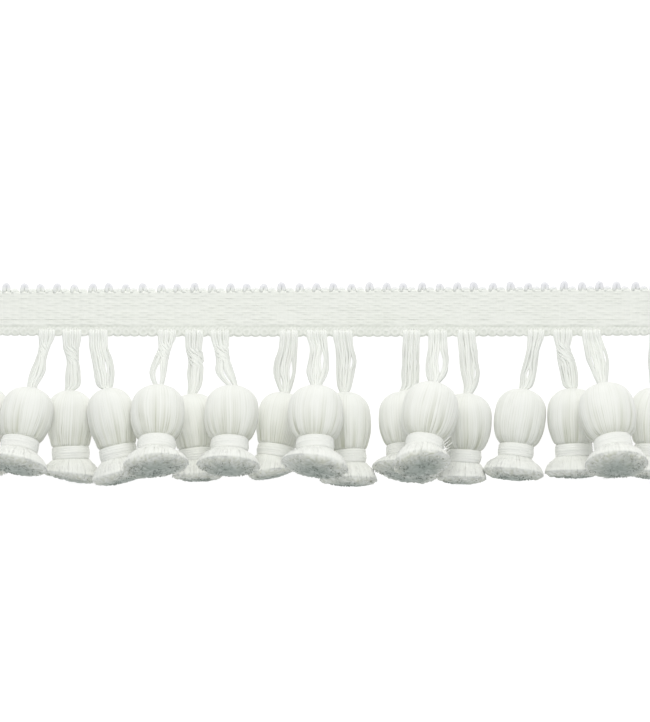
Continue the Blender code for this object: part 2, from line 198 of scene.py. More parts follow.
def make_piece(name, points, face_sets, material, layers=None):
    """An object at the origin whose mesh has those points and faces, smooth, with point attributes.

    Each face set is a whole array, one row of point numbers for each face.
    """
    mesh = bpy.data.meshes.new(name)
    corners = np.concatenate([faces.ravel() for faces in face_sets]).astype(np.int32)
    sizes = np.concatenate([np.full(len(faces), faces.shape[1]) for faces in face_sets])
    mesh.vertices.add(len(points))
    mesh.vertices.foreach_set("co", np.asarray(points, np.float32).ravel())
    mesh.loops.add(len(corners))
    mesh.loops.foreach_set("vertex_index", corners)
    mesh.polygons.add(len(sizes))
    mesh.polygons.foreach_set("loop_start", np.concatenate([[0], np.cumsum(sizes)[:-1]]).astype(np.int32))
    mesh.update(calc_edges=True)
    mesh.polygons.foreach_set("use_smooth", np.ones(len(sizes), bool))
    for key, values in (layers or {}).items():
        vector = values.ndim == 2
        layer = mesh.attributes.new(key, "FLOAT_VECTOR" if vector else "FLOAT", "POINT")
        layer.data.foreach_set("vector" if vector else "value", np.asarray(values, np.float32).ravel())
    mesh.materials.append(material)
    piece = bpy.data.objects.new(name, mesh)
    bpy.context.scene.collection.objects.link(piece)
    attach(piece, "root")
    return piece


def lattice_noise(places, pitch, seed):
    """Smooth noise from 0 to 1 at each place.

    Each corner of a lattice of that pitch has its own number, the fraction of a large sine of its place,
    and a point mixes its cell's eight corners by the smooth share of its distance to each.
    """
    scaled = places / pitch
    cell = np.floor(scaled)
    part = scaled - cell
    part = part * part * (3 - 2 * part)
    total = np.zeros(len(places))
    for corner in range(8):
        step = np.array([corner & 1, corner >> 1 & 1, corner >> 2 & 1])
        share = np.prod(np.where(step, part, 1 - part), axis=1)
        value = np.sin((cell + step) @ np.array([12.9898, 78.233, 37.719]) + seed) * 43758.5453
        total += share * (value - np.floor(value))
    return total


def weft_number(x):
    """Which weft lies at x, counted from the one in the middle.

    Weft n lies at the shift plus n pitches plus n squared stretches, and this is that turned round.
    """
    root = np.sqrt(WEFT_PITCH**2 + 4 * WEFT_STRETCH * (x - PICOT_SHIFT))
    return (root - WEFT_PITCH) / (2 * WEFT_STRETCH)


def tape_relief(x, y):
    """How far the tape's face stands above its mean, and how much painted shade a point gets.

    The weave is a broad cosine rib over each weft, plus a half circle across each warp, which stands a
    little higher where it passes over a weft, on the next warp one weft further. Smooth noise makes both
    uneven. The border below it is a row of slanted oval stitches, two to a weft, over a row of rings of
    the same thread, all drawn aside a little by more of it. A stitch or ring falls away from its middle
    by the exponential of the distance's power. Two fine furrows mark the top of the border and that of
    the plain band above it.
    """
    places = np.stack([x, y, 0 * x], axis=-1).reshape(-1, 3)
    loose = lattice_noise(places * [0.25, 1.0, 1.0], LOOSE_PITCH, 3.0).reshape(x.shape)
    patch = lattice_noise(places * [1.0, 0.3, 1.0], PATCH_PITCH, 8.0).reshape(x.shape)
    across = weft_number(x)
    rib = RIB_RISE * (0.5 + 0.5 * np.cos(2 * math.pi * across)) * (0.4 + 1.2 * patch)
    warp = np.floor(y / WARP_PITCH)
    inside = 2 * (y / WARP_PITCH - warp) - 1
    swing = np.cos(math.pi * (across + warp))
    weave = rib + WARP_RISE * np.sqrt(1.02 - inside**2) * (1 + 0.4 * swing) * (0.3 + 1.4 * loose)
    drawn = lattice_noise(places, ASIDE_PITCH, 5.0).reshape(x.shape) - 0.5
    across = across + ASIDE_SHARE * drawn
    sewn = y + SEWN_BOW * (patch - 0.5) + SEWN_JOLT * drawn
    stitch = (across * 2 - np.round(across * 2)) * WEFT_PITCH / 2
    slant = math.radians(STITCH_SLANT)
    over = stitch * math.cos(slant) + (sewn - STITCH_ROW) * math.sin(slant)
    up = (sewn - STITCH_ROW) * math.cos(slant) - stitch * math.sin(slant)
    stitches = STITCH_RISE * np.exp(-(((over / STITCH_LONG) ** 2 + (up / STITCH_WIDE) ** 2) ** 2))
    far = np.hypot((across - np.round(across)) * WEFT_PITCH, sewn - RING_ROW)
    rings = STITCH_RISE * np.exp(-(((far - RING_HALF) / RING_THREAD) ** 2))
    braid = np.maximum(stitches, rings) * (0.45 + 0.9 * loose)
    lower = 1 / (1 + np.exp((y - BORDER_TOP) / BORDER_BLEND))
    lines = sum(np.exp(-(((y - level) / LINE_HALF) ** 2)) for level in (BAND_TOP, BORDER_TOP)) * loose
    face = (1 - lower) * weave + lower * braid - LINE_DEEP * lines
    # Painted shade: darker between the warps, round the stitches and rings, and in the two furrows.
    dark = (1 - lower) * np.abs(inside) ** 3 * 0.5 * loose + lower * (1 - braid / STITCH_RISE) * 0.45
    return face, np.clip(dark + 0.3 * lines, 0, 1)


def tape_edge(x):
    """The tape's lower edge above its scallops: its sag is less by the square of the way to an end."""
    return TAPE_BOTTOM - TAPE_SAG * (1 - (x / TAPE_HALF) ** 2)


def tape_outline(x):
    """The tape's lower and upper edges at x.

    Below, round scallops hang a set depth under each weft. Above, each weft turns over in a low hump.
    Both are half circles over the share of the way from a weft's middle to where the next one begins.
    """
    across = weft_number(x)
    hump = np.sqrt(np.clip(1 - (2 * (across - np.round(across))) ** 2, 0, 1))
    upper = TAPE_TOP + TOP_RISE * x / TAPE_HALF - TURN_HIGH + TURN_HIGH * hump
    return tape_edge(x) - SCALLOP_DEEP * hump, upper


def add(tree, kind, values=None, links=None, **settings):
    """Adds a node of that kind to the tree, with its settings, its input values and its links."""
    made = tree.nodes.new(kind)
    for key, value in settings.items():
        setattr(made, key, value)
    for key, value in (values or {}).items():
        made.inputs[key].default_value = value
    for key, source in (links or {}).items():
        tree.links.new(source, made.inputs[key])
    return made


def weave_material(name, light, shade, deep):
    """Bleached cotton and viscose yarn, woven or in skeins.

    A soft matt white that varies at random between the light and the shade colour, with the deep one
    where the layer of painted shading says: painted shade between the tape's yarns and along a skein's
    sides and further down it, and painted light at a loop's foot, where the deep colour is the lighter. A
    faint sheen, and a fibre grain drawn 0.45 mm long and a third as wide, coarser than the real one, so
    that it shows.
    """
    material, tree, shader = new_material(name)
    painted_shading = add(tree, "ShaderNodeAttribute", attribute_name="painted_shading")
    place = add(tree, "ShaderNodeTexCoord")
    cloud = add(
        tree,
        "ShaderNodeTexNoise",
        {"Scale": 1 / WHITES_WIDE, "Detail": 2.0},
        {"Vector": place.outputs["Object"]},
    )
    whites = add(
        tree,
        "ShaderNodeMix",
        {"A": linear(light), "B": linear(shade)},
        {"Factor": cloud.outputs["Fac"]},
        data_type="RGBA",
    )
    # The deep colour, mixed in by the layer: painted shade, or painted light where it is the lighter one.
    tones = add(
        tree,
        "ShaderNodeMix",
        {"B": linear(deep)},
        {"Factor": painted_shading.outputs["Fac"], "A": whites.outputs["Result"]},
        data_type="RGBA",
    )
    fibre_map = add(
        tree, "ShaderNodeMapping", {"Scale": (1.0, FIBRE_SLIM, 1.0)}, {"Vector": place.outputs["Object"]}
    )
    fibre = add(
        tree,
        "ShaderNodeTexNoise",
        {"Scale": 1 / FIBRE_LONG, "Detail": 4.0, "Roughness": 0.6},
        {"Vector": fibre_map.outputs["Vector"]},
    )
    bump = add(
        tree,
        "ShaderNodeBump",
        {"Strength": 0.35, "Distance": FIBRE_RISE},
        {"Height": fibre.outputs["Fac"]},
    )
    tree.links.new(tones.outputs["Result"], shader.inputs["Base Color"])
    tree.links.new(bump.outputs["Normal"], shader.inputs["Normal"])
    shader.inputs["Roughness"].default_value = 0.88
    shader.inputs["Sheen Weight"].default_value = 0.25
    shader.inputs["Sheen Roughness"].default_value = 0.5
    shader.inputs["Specular IOR Level"].default_value = 0.25
    return material


tape_x = np.linspace(-TAPE_HALF, TAPE_HALF, WEFTS * STEPS_A_WEFT + 1)[:, None]
tape_low, tape_high = tape_outline(tape_x)
front_share = np.linspace(0, 1, FRONT_ROWS)[None, :]
front_y = tape_low + (tape_high - tape_low) * front_share
front_x = np.broadcast_to(tape_x, front_y.shape)
relief, painted_shading = tape_relief(front_x, front_y)
edge_near = np.minimum(front_y - tape_low, tape_high - front_y)
edge_round = EDGE_ROUND * np.sqrt(1 - np.clip(1 - edge_near / EDGE_REACH, 0, 1) ** 2)
front_z = TAPE_THICK - EDGE_ROUND + edge_round + relief * np.clip(edge_near / RELIEF_REACH, 0, 1)
back_share = np.linspace(1, 0, EDGE_ROWS)[None, :]
back_y = tape_low + (tape_high - tape_low) * back_share
back_x = np.broadcast_to(tape_x, back_y.shape)
section_x = np.concatenate([front_x, back_x], axis=1)
section_y = np.concatenate([front_y, back_y], axis=1)
section_z = np.concatenate([front_z, np.zeros_like(back_y)], axis=1)
tape_points = np.stack([section_x, section_y, section_z], axis=-1).reshape(-1, 3)
tape_painted_shade = np.concatenate([painted_shading, np.zeros_like(back_y)], axis=1).ravel()
tape_columns = FRONT_ROWS + EDGE_ROWS
tape_faces = grid_faces(len(tape_x), tape_columns, wrap=True)[:, ::-1]
first_end = np.arange(tape_columns)[None, :]
last_end = first_end[:, ::-1] + (len(tape_x) - 1) * tape_columns
# The tape's deep colour is painted shade in the weave's hollows and furrows.
tape_cloth = weave_material("bleached cotton and viscose tape", "#EFF0EB", "#EBEDE6", "#CCD0C5")
tape = make_piece(
    "woven_tape", tape_points, [tape_faces, first_end, last_end], tape_cloth, {"painted_shading": tape_painted_shade}
)
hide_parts("heading")


# The picots: on every second weft the thick weft yarn turns back outside the tape in a small round loop
# that nearly closes, with a lower turn of the next weft to its right. They are woven with the tape, and
# here they are one mesh of short bent tubes.
PICOT_HIGH = 0.0021
PICOT_UNEVEN = 0.00020
PICOT_WAVES = (2.4, 5.1)
PICOT_GROWTH = 0.0003
PICOT_LEAN = 0.0002
LEAN_WAVE = 3.3
PICOT_JOLT = 0.00022
JOLT_WAVE = 4.7
PICOT_FOOT = 0.0007
PICOT_Z = 0.0009
PICOT_TWIST = 0.00015
PICOT_CLEAR = 0.0015
PICOT_HALF = 0.00066
SHOULDER_HALF = 0.00062
PICOT_YARN = 0.00068
SHOULDER_HIGH = 0.00010
SHOULDER_AWAY = 0.95
PICOT_STEPS = 11
PICOT_SIDES = 8
# The last two: where the painted light at the loops' feet ends above the tape's top, and over what height it
# fades.
FOOT_TOP = 0.0009
FOOT_LIGHT_REACH = 0.0010


def tubes(paths, radii, sides, reference):
    """Closed tubes round many paths at once, and their faces.

    A ring of a tube is its centre plus its radius times a turning arrow, in the plane of two arrows that
    are square to the path: the path's direction crossed with the reference, and that crossed again.
    """
    count, steps, _ = paths.shape
    forward = np.gradient(paths, axis=1)
    forward /= np.linalg.norm(forward, axis=2, keepdims=True)
    side = np.cross(forward, np.broadcast_to(reference, paths.shape))
    side /= np.linalg.norm(side, axis=2, keepdims=True)
    over = np.cross(forward, side)
    angle = 2 * math.pi * np.arange(sides) / sides
    arrow = side[:, :, None] * np.cos(angle)[:, None] + over[:, :, None] * np.sin(angle)[:, None]
    radii = np.broadcast_to(radii, (count, steps))
    points = (paths[:, :, None] + radii[:, :, None, None] * arrow).reshape(-1, 3)
    starts = (np.arange(count) * steps * sides)[:, None, None]
    walls = (starts + grid_faces(steps, sides, wrap=True)[None]).reshape(-1, 4)
    ring = np.arange(sides)[None, :]
    near_caps = starts[:, 0] + ring[:, ::-1]
    far_caps = starts[:, 0] + (steps - 1) * sides + ring
    return points, [walls, np.concatenate([near_caps, far_caps])]


def picot_paths():
    """The centre lines of the loops: half ovals that rise from the tape's edge and come back to it.

    The tall ones differ in height by two sines and grow by the fourth power of their share of the way to
    the trim's end, lean and stand aside by two more, and the low turns between them are all alike. A
    loop's sides rise by the sine of the way round to a power under one, so that they stay upright.
    """
    turn = np.linspace(0, math.pi, PICOT_STEPS)
    number = np.arange(-(WEFTS // 4), WEFTS // 4 + 1)
    first_wave, second_wave = PICOT_WAVES
    high = PICOT_HIGH + PICOT_UNEVEN * (np.sin(first_wave * number) + np.sin(second_wave * number) / 2)
    high = high + PICOT_GROWTH * (number / number[-1]) ** 4
    lean = PICOT_LEAN * np.sin(LEAN_WAVE * number)
    jolt = PICOT_JOLT * np.sin(JOLT_WAVE * number)
    tall_x = PICOT_SHIFT + 2 * number * WEFT_PITCH + (2 * number) ** 2 * WEFT_STRETCH + jolt
    reach = np.concatenate([high - PICOT_YARN, np.full(len(number), SHOULDER_HIGH)])
    middle = np.concatenate([tall_x, tall_x + SHOULDER_AWAY * WEFT_PITCH])
    lean = np.concatenate([lean, 0 * lean])
    wide = np.concatenate([np.full(len(number), PICOT_HALF), np.full(len(number), SHOULDER_HALF)])
    inside = np.abs(middle) < TAPE_HALF - PICOT_CLEAR
    rise = np.sin(turn)[None, :] ** 0.6 * reach[inside, None]
    x = middle[inside, None] - wide[inside, None] * np.cos(turn) + lean[inside, None] * np.sin(turn)
    y = TAPE_TOP + TOP_RISE * x / TAPE_HALF - PICOT_FOOT + PICOT_FOOT * np.sin(turn) ** 0.5 + rise
    z = PICOT_Z + PICOT_TWIST * np.cos(turn) + 0 * x
    return np.stack([x, y, z], axis=-1)


picot_lines = picot_paths()
picot_points, picot_faces = tubes(picot_lines, PICOT_YARN, PICOT_SIDES, (0.0, 0.0, 1.0))
# Painted light at the loops' feet, where their shadow falls on the tape's edge: full at the edge, fading
# over the millimetre above it.
picot_painted_light = np.clip((TAPE_TOP + FOOT_TOP - picot_points[:, 1]) / FOOT_LIGHT_REACH, 0, 1)
# The loops are painted a greyer white than the tape's yarn, as shade, and their lighter deep colour is the
# painted light at their feet.
picot_yarn = weave_material("bleached cotton weft yarn", "#EBEBEE", "#E4E4E8", "#F2F4EE")
picots = make_piece("picot_loops", picot_points, picot_faces, picot_yarn, {"painted_shading": picot_painted_light})


# The tassels: each is one bundle of soft spun viscose yarn, drawn over a hanger at its top, bound at its
# neck and cut off straight below. The head's yarns lie side by side and run down into the neck, and the
# short skirt flares into a brush of cut ends. The yarns are ridges on one closed skin, with loose strands.
HEAD_LONG = 0.0168
NECK_LONG = 0.0046
SKIRT_LONG = 0.0058
NECK_CORE = 0.0049
HEAD_MIDDLE = 0.48 * HEAD_LONG
DEPTH_SHARE = 0.80
FLAT_SPOT = 0.0003
PILE_GAP = 0.0007
YARNS = 70
YARN_POINTS = (0.0, 0.9, 1.0)
YARN_WIDTHS = (0.4, 1.8)
YARN_STAND = 0.00004
VALLEY_DEEP = (0.00004, 0.00012)
SWIRL = 0.22
WANDER = 0.10
SKIN_ROUND = 0.007
WANDER_PITCH = 0.0028
PATCH_LONG = 0.0013
TIP_PITCH = 0.0011
STREAK_PITCH = 0.0010
BROAD_PITCH = 0.0030
STIPPLE_PITCH = 0.00055
LUMP_PITCH = 0.0024
FURROWS = 11
FURROW_HALF = 0.07
FURROW_DEEP = 0.00026
FACE_START = 0.0038
FACE_BLEND = 0.0009
STIPPLE_DEEP = 0.00046
LUMP_DEEP = 0.0010
SKIRT_START = 0.001
SKIRT_BLEND = 0.002
CROWN_HALF = 0.004
POLE_HALF = 0.002
FULL_DEEP = 0.00036
STRANDS = 190
STRAND_STEPS = 5
STRAND_RADII = (0.00006, 0.00013, 0.00015, 0.00015, 0.00009)
# The cut face's painted shade on each loose strand, from root to tip.
STRAND_TIP_SHADE = (0.0, 0.0, 0.0, 0.0, 0.25)
STRAND_SPAN = (0.0002, 0.0039)
STRAND_SUNK = (0.00004, 0.00016)
ROOT_SUNK = 0.0002
STRAND_EXTRA = (-0.0002, 0.0008)
TIP_UNEVEN = 0.0005
STRAND_DRIFT = 0.09
CUT_ENDS = 260
END_RADII = (0.00022, 0.00022, 0.00015)
END_REACH = (0.0001, 0.0004)
END_SPLAY = 0.75
END_DRIFT = 0.04
DOME_HALF = 0.93
DOME_FALL = 0.0014
LOOSE_SIDES = 3

# One row for each tassel, from left to right. hang: where its hanger leaves the tape. head_x, head_y: the
# middle of its head. half: half the head's width. rim: half the skirt's width. tilt: degrees that the
# skirt's end is raised. lean: degrees that the skirt swings to the right. layer: 0 lies on the surface,
# and a higher layer lies on its lower neighbours. long: its length beside the usual one. slant: degrees
# that its cut is turned, the right end nearer the tape. bend: degrees that the neck bends up. neck: its
# thickness beside the usual one.
Tassel = namedtuple("Tassel", "hang head_x head_y half rim tilt lean layer long slant bend neck")
TASSELS = (
    Tassel(-0.1023, -0.0996, -0.0297, 0.0075, 0.0086, 6.0, -5.0, 0, 0.99, 0.0, 0.0, 1.00),
    Tassel(-0.0810, -0.0861, -0.0297, 0.0077, 0.0094, 21.0, -11.0, 2, 0.96, 0.0, 0.0, 1.00),
    Tassel(-0.0735, -0.0738, -0.0311, 0.0071, 0.0086, 4.5, 1.5, 0, 0.99, -11.0, 0.0, 1.00),
    Tassel(-0.0656, -0.0611, -0.0307, 0.0071, 0.0091, 9.0, 11.0, 1, 1.04, 3.0, 0.0, 1.00),
    Tassel(-0.0449, -0.0471, -0.0293, 0.0080, 0.0096, 27.0, -1.0, 2, 1.01, 7.0, 0.0, 1.00),
    Tassel(-0.0368, -0.0367, -0.0318, 0.0072, 0.0077, 5.0, 4.5, 0, 0.96, -3.0, 0.0, 1.00),
    Tassel(-0.0291, -0.0253, -0.0294, 0.0080, 0.0093, 23.0, -3.0, 2, 0.99, 1.0, 0.0, 1.00),
    Tassel(-0.0084, -0.0107, -0.0313, 0.0072, 0.0069, 10.0, -9.0, 0, 0.95, 22.0, 0.0, 1.00),
    Tassel(-0.0001, -0.0004, -0.0294, 0.0082, 0.0098, 25.0, -1.0, 2, 1.00, -10.0, 0.0, 1.00),
    Tassel(0.0077, 0.0086, -0.0319, 0.0075, 0.0084, 8.0, 2.5, 0, 1.03, -4.0, 0.0, 1.00),
    Tassel(0.0284, 0.0261, -0.0311, 0.0077, 0.0099, 14.0, 1.0, 0, 0.96, -12.0, 9.0, 1.00),
    Tassel(0.0362, 0.0335, -0.0288, 0.0083, 0.0083, 26.0, -9.5, 2, 1.06, 18.0, 12.0, 1.00),
    Tassel(0.0447, 0.0445, -0.0320, 0.0077, 0.0073, 3.5, -4.5, 0, 0.99, 4.0, 0.0, 0.95),
    Tassel(0.0656, 0.0607, -0.0307, 0.0077, 0.0090, 11.0, -7.5, 0, 1.00, 3.0, 0.0, 0.93),
    Tassel(0.0737, 0.0764, -0.0304, 0.0076, 0.0089, 5.0, 1.5, 0, 0.98, 0.0, 0.0, 1.00),
    Tassel(0.0822, 0.0859, -0.0290, 0.0084, 0.0092, 28.0, 8.0, 2, 1.05, -7.0, 5.0, 1.00),
    Tassel(0.1023, 0.1008, -0.0303, 0.0075, 0.0082, 5.0, -3.5, 0, 1.00, 0.0, 0.0, 1.00),
)

# The outline from the top of the head to the middle of the cut face. along: metres down the axis. head,
# fixed, rim: the radius is head shares of the head's half width, plus metres, plus rim shares of the
# skirt's. rows: rings of points up to here. cut: how much a place belongs to the cut face, and so how
# much of its painted shade it gets.
Turn = namedtuple("Turn", "along head fixed rim rows cut")
NECK_END = HEAD_LONG + NECK_LONG
OUTLINE = (
    Turn(0.0000, 0.10, 0.0, 0.0, 1, 0.0),
    Turn(0.0005, 0.43, 0.0, 0.0, 3, 0.0),
    Turn(0.0020, 0.74, 0.0, 0.0, 3, 0.0),
    Turn(0.0045, 0.94, 0.0, 0.0, 4, 0.0),
    Turn(0.0080, 1.00, 0.0, 0.0, 5, 0.0),
    Turn(0.0118, 0.98, 0.0, 0.0, 6, 0.0),
    Turn(0.0149, 0.87, 0.0, 0.0, 5, 0.0),
    Turn(0.0163, 0.35, 0.0034, 0.0, 4, 0.0),
    Turn(HEAD_LONG + 0.0001, 0.0, 0.0056, 0.0, 2, 0.0),
    Turn(HEAD_LONG + 0.0008, 0.0, NECK_CORE, 0.0, 2, 0.0),
    Turn(NECK_END - 0.0009, 0.0, NECK_CORE, 0.0, 2, 0.0),
    Turn(NECK_END - 0.0003, 0.0, 0.0057, 0.0, 2, 0.0),
    Turn(NECK_END + 0.0004, 0.0, 0.0046, 0.21, 3, 0.0),
    Turn(NECK_END + 0.0011, 0.0, 0.0026, 0.53, 3, 0.0),
    Turn(NECK_END + 0.0019, 0.0, 0.0010, 0.79, 4, 0.0),
    Turn(NECK_END + 0.0028, 0.0, 0.0, 0.95, 3, 0.0),
    Turn(NECK_END + 0.0036, 0.0, 0.0, 1.00, 3, 0.0),
    Turn(NECK_END + 0.0043, 0.0, 0.0, 0.97, 3, 0.08),
    Turn(NECK_END + 0.0049, 0.0, 0.0, 0.87, 3, 0.30),
    Turn(NECK_END + 0.0053, 0.0, 0.0, 0.69, 3, 0.62),
    Turn(NECK_END + 0.0057, 0.0, 0.0, 0.45, 4, 0.88),
    Turn(NECK_END + 0.0059, 0.0, 0.0, 0.23, 3, 1.0),
    Turn(NECK_END + 0.0059, 0.0, 0.0, 0.04, 2, 1.0),
)


def tassel_heights():
    """The height of each head's middle: on the board, or on its lower neighbours.

    Two flattened heads side by side touch where circles of the same half widths would, so the rise is
    the upright side of the triangle of their centres, times the heads' share of depth.
    """
    heights = [DEPTH_SHARE * t.half - FLAT_SPOT for t in TASSELS]
    for layer in (1, 2):
        for i, tassel in enumerate(TASSELS):
            if tassel.layer != layer:
                continue
            for j, other in enumerate(TASSELS):
                reach = tassel.half + other.half + PILE_GAP
                across = abs(tassel.head_x - other.head_x)
                if other.layer < layer and across < reach:
                    rise = DEPTH_SHARE * math.sqrt(reach**2 - across**2)
                    heights[i] = max(heights[i], heights[j] + rise)
    return heights


def tassel_frame(tassel, height):
    """A tassel's three axes, across, up and along, as rows, and the place of its head's top."""
    tilt = math.radians(tassel.tilt)
    lean = math.radians(tassel.lean)
    across = np.array([math.cos(lean), math.sin(lean), 0.0])
    along = np.array([math.sin(lean) * math.cos(tilt), -math.cos(lean) * math.cos(tilt), math.sin(tilt)])
    up = np.cross(along, across)
    top = np.array([tassel.head_x, tassel.head_y, height]) - along * HEAD_MIDDLE * tassel.long
    return np.array([across, up, along]), top


def laid(points, tassel, axes, top):
    """The tassel's points in their place, with those that would sink below the board laid on it.

    Past the neck the cut's slant moves a point along the axis by its distance across times the slant's
    tangent, in full at the cut. The bend turns it up about the neck's middle, by nothing at the head and
    in full past the neck. Then the distance along is scaled by the tassel's own length.
    """
    x, deep, along = points.T
    skirt = np.clip((along - NECK_END) / SKIRT_LONG, 0, 1)
    bend = math.radians(tassel.bend) * np.clip((along - HEAD_LONG) / NECK_LONG, 0, 1)
    pivot = HEAD_LONG + NECK_LONG / 2
    past = along - skirt * x * math.tan(math.radians(tassel.slant)) - pivot
    raised = deep * np.cos(bend) + past * np.sin(bend)
    reach = (pivot + past * np.cos(bend) - deep * np.sin(bend)) * tassel.long
    shaped = np.stack([x, raised, reach], axis=-1)
    placed = shaped @ axes + top
    placed[:, 2] = np.maximum(placed[:, 2], 0.0)
    return placed


def curve_through(table, counts):
    """Rows on the smooth curve through the table's rows, with that many of them up to each row.

    Between two rows it is the cubic that passes both with the slope of their neighbours.
    """
    padded = np.concatenate([2 * table[:1] - table[1:2], table, 2 * table[-1:] - table[-2:-1]])
    rows = [table[0]]
    for i in range(1, len(table)):
        before, start, end, after = padded[i - 1 : i + 3]
        for t in np.arange(1, counts[i] + 1) / counts[i]:
            bend = 2 * before - 5 * start + 4 * end - after
            twist = -before + 3 * start - 3 * end + after
            rows.append(start + 0.5 * t * (end - before + t * (bend + t * twist)))
    return np.array(rows)


def outline_rows(tassel):
    """The outline's distance along the axis, radius and share of cut face, one row for each ring."""
    wide = [t.head * tassel.half + t.fixed * tassel.neck + t.rim * tassel.rim for t in OUTLINE]
    turns = np.array([[t.along, radius, t.cut] for t, radius in zip(OUTLINE, wide)])
    return curve_through(turns, [t.rows for t in OUTLINE])


def yarn_skin(tassel, draw):
    """The bundle's skin in its own axes: points, faces and the layers that its material reads.

    Each yarn is three points round the axis, a valley and two crests, and yarns differ in width and in
    how far they stand out. They swirl a little round the head and wander by smooth noise. The skin is the
    outline turned round the axis, less the depth of the valleys, which grows with the square of the way
    down the head. A few soft furrows gather its lower half, and noise drawn out along the yarns gives
    broad soft streaks. Over the face share the ridges end and the depth is smooth noise instead. The cut
    layer follows the outline's own share and lays on the cut face's colour, a painted shade. It wavers
    from yarn to yarn, reaches further up the skirt on the under side, as painted shade, and is less at the
    two side tips, as painted light. The layer of painted shading is painted shade in the valleys and
    furrows, in the streaks, and towards the neck, where it grows by the cube of the way down the head and
    is more on the tassels that lie on others. On the cut face it is a speckle of smooth noise.
    """
    rows = outline_rows(tassel)
    along, wide = rows[:, 0:1], rows[:, 1:2]
    steps = len(YARN_POINTS)
    widths = draw.uniform(*YARN_WIDTHS, YARNS)
    starts = np.concatenate([[0], np.cumsum(widths)[:-1]])
    within = np.arange(steps) / steps
    angle = ((starts[:, None] + widths[:, None] * within) * 2 * math.pi / widths.sum()).ravel()[None, :]
    crest = np.tile(np.array(YARN_POINTS), YARNS)[None, :]
    stand = np.repeat(draw.uniform(-1, 1, YARNS), steps)[None, :]
    clear = np.repeat(draw.uniform(0, 1, YARNS) ** 1.5, steps)[None, :]
    slope_along = np.gradient(along, axis=0)
    slope_wide = np.gradient(wide, axis=0)
    length = np.hypot(slope_along, slope_wide)
    out_wide, out_along = slope_along / length, -slope_wide / length
    travelled = np.cumsum(length, axis=0)
    down = np.clip(along / HEAD_LONG, 0, 1)
    in_skirt = np.clip((along - HEAD_LONG - SKIRT_START) / SKIRT_BLEND, 0, 1)
    around = np.stack([np.cos(angle) + 0 * along, np.sin(angle) + 0 * along, 0 * angle + 0 * along], axis=-1)
    ring = SKIN_ROUND * around + travelled[..., None] * [0.0, 0.0, 0.4]
    spots = ring.reshape(-1, 3)
    wander = lattice_noise(spots, WANDER_PITCH, draw.uniform(0, 99)).reshape(ring.shape[:2])
    swirl = draw.uniform(-SWIRL, SWIRL) * (1 - down) ** 1.5
    turn = angle + swirl + WANDER * (wander - 0.5) * np.sin(math.pi * down)
    patches = lattice_noise(spots, PATCH_LONG, draw.uniform(0, 99)).reshape(turn.shape)
    edge = lattice_noise(spots, TIP_PITCH, draw.uniform(0, 99)).reshape(turn.shape)
    drawn = (ring * [1.0, 1.0, 0.16]).reshape(-1, 3)
    streak = lattice_noise(drawn, STREAK_PITCH, draw.uniform(0, 99)).reshape(turn.shape)
    broad = lattice_noise(drawn, BROAD_PITCH, draw.uniform(0, 99)).reshape(turn.shape)
    # Painted shade of the cut face: it wavers, reaches further up on the under side, and is less at the side
    # tips, as painted light.
    cut = rows[:, 2:3] + rows[:, 2:3] * (1 - rows[:, 2:3]) * (2.0 * (edge - 0.5) - 1.2 * np.sin(turn))
    cut = np.clip(cut, 0, 1) * (1 - 0.45 * np.cos(turn) ** 2 * (wide / tassel.rim) ** 2)
    face = np.clip((along - NECK_END - FACE_START) / FACE_BLEND, 0, 1)
    deep = (VALLEY_DEEP[0] + VALLEY_DEEP[1] * down**2) * (0.2 + 1.6 * patches)
    deep = deep * (0.35 + 1.1 * clear) * np.clip(wide / CROWN_HALF, 0.15, 1) * (1 - face)
    sunk = deep * (1 - crest) - YARN_STAND * stand * (0.3 + down) * (wide > POLE_HALF) * (1 - face)
    groove = np.zeros_like(turn)
    furrows = zip(draw.uniform(0, 2 * math.pi, FURROWS), draw.uniform(0.2, 1.0, FURROWS))
    for place, strength in furrows:
        apart = np.abs((turn - place + math.pi) % (2 * math.pi) - math.pi)
        groove += strength * np.exp(-((apart / FURROW_HALF) ** 2))
    gather = np.clip((down - 0.45) / 0.5, 0, 1) * (along < HEAD_LONG)
    sunk = sunk + FURROW_DEEP * groove * gather
    face_places = np.stack([wide * np.cos(turn), wide * np.sin(turn), along + 0 * turn], axis=-1)
    face_places = face_places.reshape(-1, 3)
    stipple = lattice_noise(face_places, STIPPLE_PITCH, draw.uniform(0, 99)).reshape(turn.shape)
    coarse = lattice_noise(face_places, LUMP_PITCH, draw.uniform(0, 99)).reshape(turn.shape)
    sunk = sunk + face * (STIPPLE_DEEP * (stipple - 0.5) + LUMP_DEEP * (coarse - 0.5))
    radius = wide - out_wide * sunk
    level = along - out_along * sunk
    points = np.stack([radius * np.cos(turn), DEPTH_SHARE * radius * np.sin(turn), level], axis=-1)
    # Painted shade: streaks that grow down the head, the valleys and furrows, and a shade towards the neck,
    # more on tassels lying on others; on the cut face, a speckle.
    painted_streaks = np.clip(2.2 * streak - 0.9, 0, 1) * (0.25 + 0.9 * broad) * (0.15 + 0.85 * down**1.5)
    painted_shading = (1 - crest) * deep / FULL_DEEP * (1 - 0.6 * in_skirt) + 0.45 * groove * gather
    painted_neck_shade = 0.16 if tassel.layer == 0 else 0.26
    painted_shading = painted_shading + (0.55 * painted_streaks + painted_neck_shade * down**3) * (1 - in_skirt)
    painted_shading = np.clip(painted_shading, 0, 1) * (1 - face)
    painted_shading = painted_shading + face * np.clip(1.25 - 1.3 * stipple - 0.5 * coarse, 0, 1)
    columns = turn.shape[1]
    faces = [
        grid_faces(len(rows), columns, wrap=True),
        np.arange(columns)[None, ::-1],
        (len(rows) - 1) * columns + np.arange(columns)[None, :],
    ]
    layers = {
        "painted_shading": painted_shading.ravel(),
        "cut": cut.ravel(),
        "yarn_place": (ring * [1.0, 1.0, 0.3]).reshape(-1, 3),
    }
    return points.reshape(-1, 3), faces, layers


